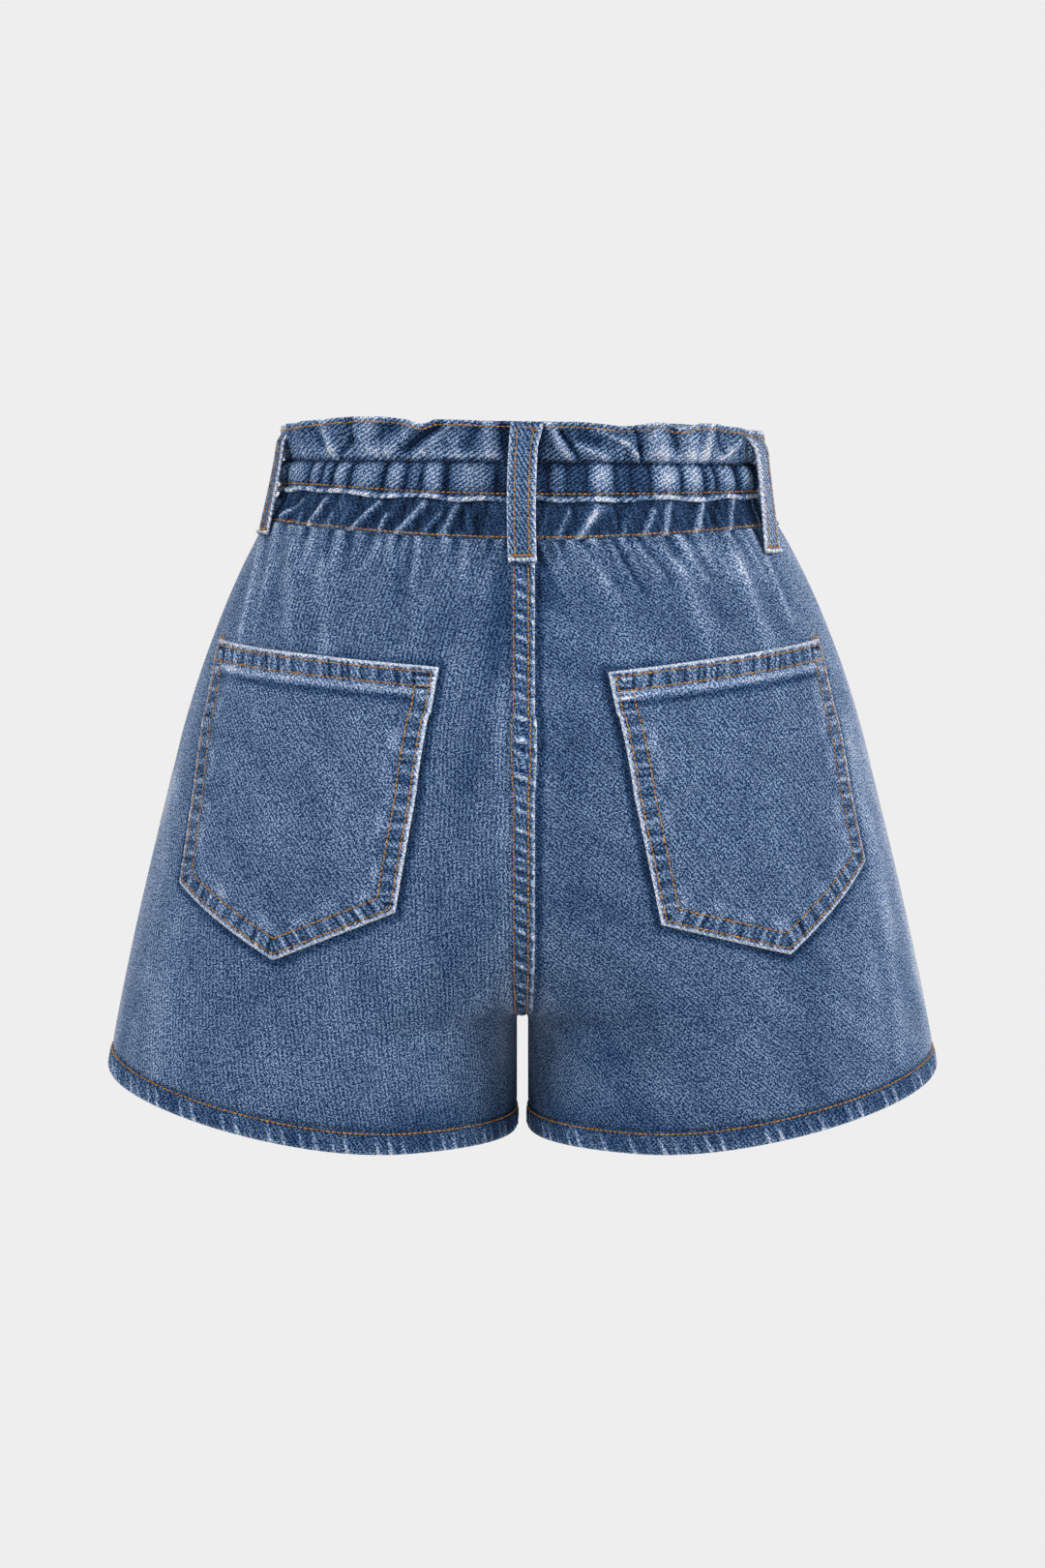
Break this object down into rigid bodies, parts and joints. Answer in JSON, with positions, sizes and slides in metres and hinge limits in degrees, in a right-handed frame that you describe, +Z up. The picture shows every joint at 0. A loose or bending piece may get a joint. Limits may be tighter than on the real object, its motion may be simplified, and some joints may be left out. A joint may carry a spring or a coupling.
{
  "type": "denim shorts",
  "caption": "Short denim shorts with a frilled elastic waist, patch back pockets, belt loops and turned-up hems, filled out as worn.",
  "frame": {"origin": "middle of the waist opening, level with the middle of the elastic casing", "axes": "+Z up, the garment's back faces -Y, the wearer's right side is +X"},
  "size_m": [0.4472, 0.2249, 0.382],
  "materials": {
    "denim": "washed blue denim twill",
    "dark_denim": "darker blue denim twill",
    "pale_denim": "worn pale blue denim twill",
    "thread": "orange topstitching thread"
  },
  "bodies": {
    "root": {"waistband": "denim", "under_band": "dark_denim", "back_panel_left": "denim", "back_panel_right": "denim", "front_panel_left": "denim", "front_panel_right": "denim", "back_seam": "pale_denim", "back_pocket_left": "denim", "back_pocket_right": "denim", "hem_left": "dark_denim", "hem_right": "dark_denim", "belt_loop_back": "pale_denim", "belt_loop_left": "pale_denim", "belt_loop_right": "pale_denim", "belt_loop_front_left": "pale_denim", "belt_loop_front_right": "pale_denim"}
  },
  "joints": []
}
